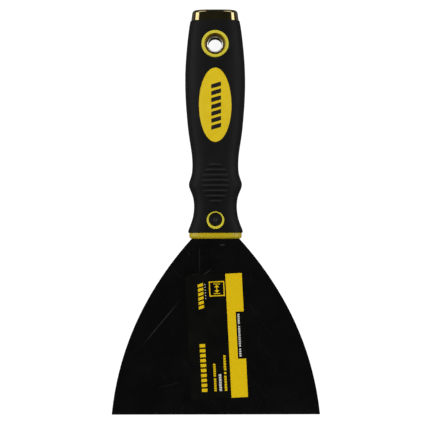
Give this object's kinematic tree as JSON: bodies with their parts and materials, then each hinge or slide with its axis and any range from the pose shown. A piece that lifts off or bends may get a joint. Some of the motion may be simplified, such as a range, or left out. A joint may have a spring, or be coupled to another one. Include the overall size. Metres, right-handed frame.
{
  "type": "drywall taping knife",
  "caption": "Broad taping knife with a flared black steel blade, a riveted two-material handle with thumb ribs and a hanging eyelet, and a metal hammer cap on the butt.",
  "frame": {"origin": "middle of the footprint, on the surface that the knife lies on with its back down", "axes": "+X across the blade, +Y from the working edge to the hammer cap, +Z out of the label side of the blade"},
  "size_m": [0.125, 0.2422, 0.0221],
  "materials": {
    "blade_steel": "black, polished, with fine scratches",
    "label_film": "printed film, black with yellow and white print",
    "core_plastic": "fine moulded satin, golden yellow",
    "grip_rubber": "matt black, fine spark-eroded texture",
    "rivet_metal": "dark plated, polished",
    "eyelet_metal": "bright plated",
    "cap_metal": "brass plated, polished"
  },
  "bodies": {
    "root": {"blade": "blade_steel", "blade_label": "label_film", "core_front": "core_plastic", "core_back": "core_plastic", "soft_grip": "grip_rubber", "rivet_male": "rivet_metal", "rivet_female": "rivet_metal", "hang_eyelet": "eyelet_metal", "eyelet_washer": "eyelet_metal", "hammer_cap": "cap_metal"}
  },
  "joints": []
}
